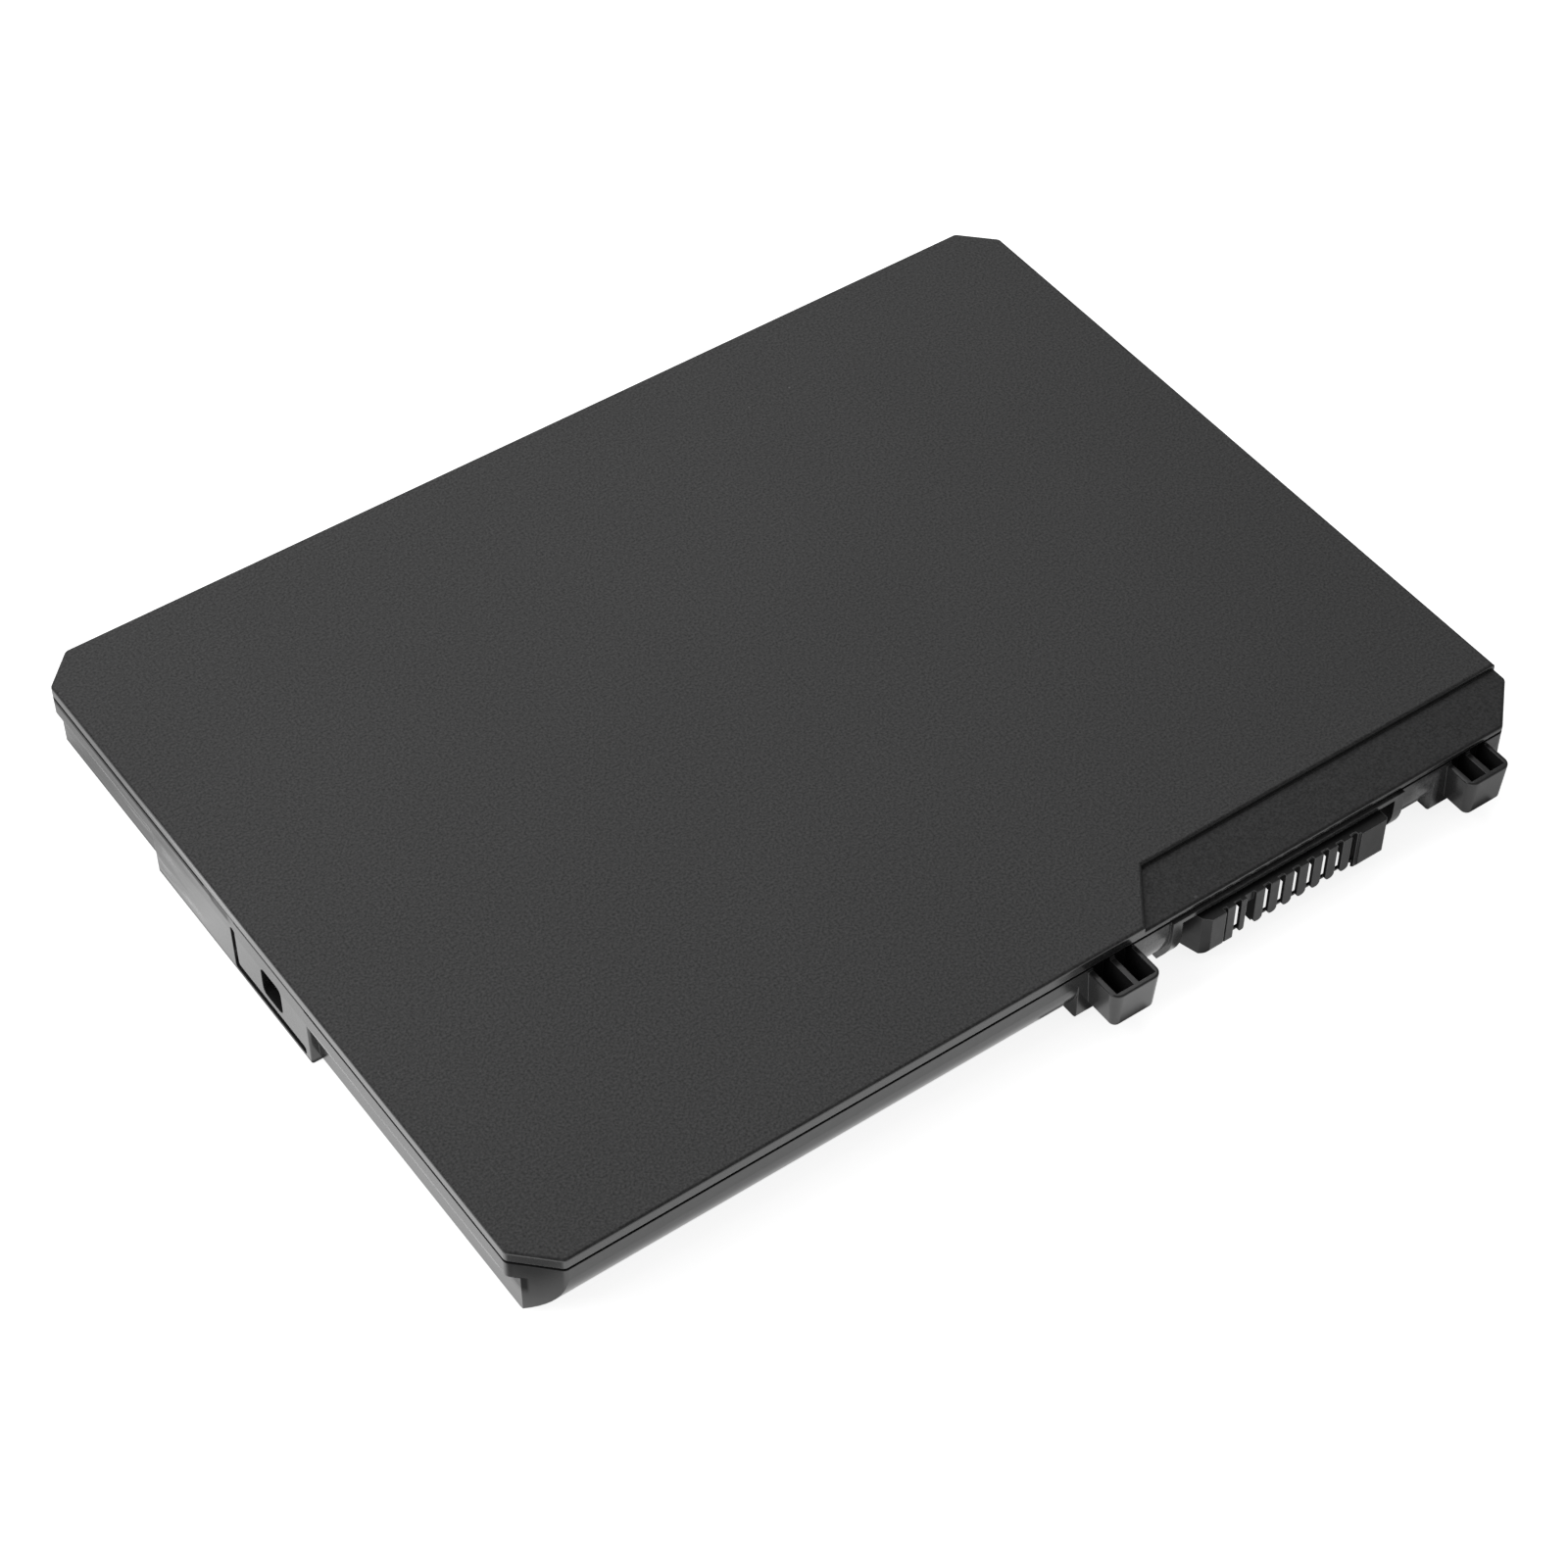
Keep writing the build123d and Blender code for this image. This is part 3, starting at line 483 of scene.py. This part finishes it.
# Floor: pale paper that reads white to the camera and in reflections, and keeps the shadow
floorLook = {
    "half": 6.0, "rough": 0.9, "paper": 0.85, "seen": 0.84,
    "frontReach": (20, 60), "front": (0.72, 0.2),
    "leftReach": (-50, 50), "leftFade": 6,
    "left": ((0.1, 0.9), (0.45, 0.92), (0.58, 0.85), (0.67, 1.0), (0.8, 0.5), (0.95, 0.35)),
    "cornerAway": (5, 2), "cornerFade": (3, 7.5), "cornerShade": 0.83,
    "zoneSoft": 0.25, "zoneBack": 6,
}
floorMesh = bpy.data.meshes.new("floor")
build = bmesh.new()
bmesh.ops.create_grid(build, x_segments=1, y_segments=1, size=floorLook["half"])
build.to_mesh(floorMesh)
build.free()
floor = bpy.data.objects.new("floor", floorMesh)
scene.collection.objects.link(floor)
floorFinish, tree, shader = newFinish("floor paper")
floorMesh.materials.append(floorFinish)
shader.inputs["Roughness"].default_value = floorLook["rough"]
shader.inputs["Emission Color"].default_value = (1, 1, 1, 1)
axes = objectAxes(tree)

# Painted shade on the floor that the case mirrors: near corner, then first lug, beside it, post, comb,
# second lug, beside it
front = coverLow[1] / mm
back = front + floorLook["zoneBack"]
shadeZones = [
    {"xs": (3.9, 9.4), "ys": (front - 5.8, back), "strength": 0.9},
    {"xs": (-1.0, 3.9), "ys": (front + 0.3, back), "strength": 0.7},
    {"xs": (16.5, 19.2), "ys": (front - 5, back), "strength": 0.85},
    {"xs": (19.0, 43.0), "ys": (front - 1, back), "strength": 0.85},
    {"xs": (53.1, 58.3), "ys": (front - 5.3, back), "strength": 0.9},
    {"xs": (49.0, 53.1), "ys": (front + 0.3, back), "strength": 0.7},
]


def softEnds(ends):
    return [(end - floorLook["zoneSoft"], end + floorLook["zoneSoft"]) for end in ends]


awayX, awayY = floorLook["cornerAway"]
fadeFrom, fadeTo = floorLook["cornerFade"]
away = tree.nodes.new("ShaderNodeVectorMath")
away.operation = "DISTANCE"
tree.links.new(objectPlace(tree), away.inputs[0])
away.inputs[1].default_value = (coverLow[0] - awayX * mm, coverLow[1] - awayY * mm, 0)
shade = spread(tree, away.outputs["Value"], fadeFrom * mm, fadeTo * mm, floorLook["cornerShade"], 0)
for zone in shadeZones:
    inside = within(tree, x=softEnds(zone["xs"]), y=softEnds(zone["ys"]))
    shade = most(tree, shade, times(tree, inside, zone["strength"]))

# Painted light level that the case mirrors: along the left side by the ramp, in front dimmer to the right
rampFrom, rampTo = floorLook["leftReach"]
leftRamp = tree.nodes.new("ShaderNodeValToRGB")
along = spread(tree, axes["Y"], rampFrom * mm, rampTo * mm, 0, 1)
tree.links.new(along, leftRamp.inputs["Fac"])
stops = leftRamp.color_ramp.elements
stops[0].position, stops[1].position = floorLook["left"][0][0], floorLook["left"][-1][0]
for position, level in floorLook["left"][1:-1]:
    stops.new(position)
for stop, (position, level) in zip(stops, floorLook["left"]):
    stop.color = (level, level, level, 1)
frontFrom, frontTo = floorLook["frontReach"]
frontLevel = spread(tree, axes["X"], frontFrom * mm, frontTo * mm, *floorLook["front"])
leftEnd = coverLow[0] + floorLook["leftFade"] * mm
beside = spread(tree, axes["X"], coverLow[0], leftEnd, 1, 0)
level = blend(tree, beside, frontLevel, leftRamp.outputs["Color"])
lightPath = tree.nodes.new("ShaderNodeLightPath")
glossy = lightPath.outputs["Is Glossy Ray"]
seen = times(tree, lightPath.outputs["Is Camera Ray"], floorLook["seen"])
mirrored = times(tree, glossy, times(tree, level, inverse(tree, shade)))
tree.links.new(most(tree, seen, mirrored), shader.inputs["Emission Strength"])
# In the painted shade the paper also darkens for reflections
paperGain = inverse(tree, times(tree, glossy, shade))
paper = tint(tree, paperGain, (0, 0, 0), (floorLook["paper"],) * 3)
tree.links.new(paper, shader.inputs["Base Color"])
print("floor done")

# Light: a dim room, a large softbox behind and above, a small one to the left
roomStrength = 0.2
softboxes = {
    "back softbox": {"place": (0.12, 0.72, 0.95), "target": (0, 0, 0), "size": (1.3, 1.1), "power": 7.5},
    "left softbox": {"place": (-0.9, 0.2, 0.7), "target": (-0.1, 0, 0), "size": (0.7, 0.7), "power": 3},
}
world = bpy.data.worlds.new("studio")
scene.world = world
world.use_nodes = True
room = world.node_tree.nodes["Background"]
room.inputs["Color"].default_value = (1, 1, 1, 1)
room.inputs["Strength"].default_value = roomStrength


def softbox(name, place, target, size, power):
    data = bpy.data.lights.new(name, "AREA")
    data.shape = "RECTANGLE"
    data.size, data.size_y = size
    data.energy = power
    lamp = bpy.data.objects.new(name, data)
    scene.collection.objects.link(lamp)
    lamp.location = place
    lamp.rotation_mode = "QUATERNION"
    lamp.rotation_quaternion = (Vector(target) - Vector(place)).to_track_quat("-Z", "Y")


for name, box in softboxes.items():
    softbox(name, **box)
scene.view_settings.view_transform = "Standard"
print("light done")
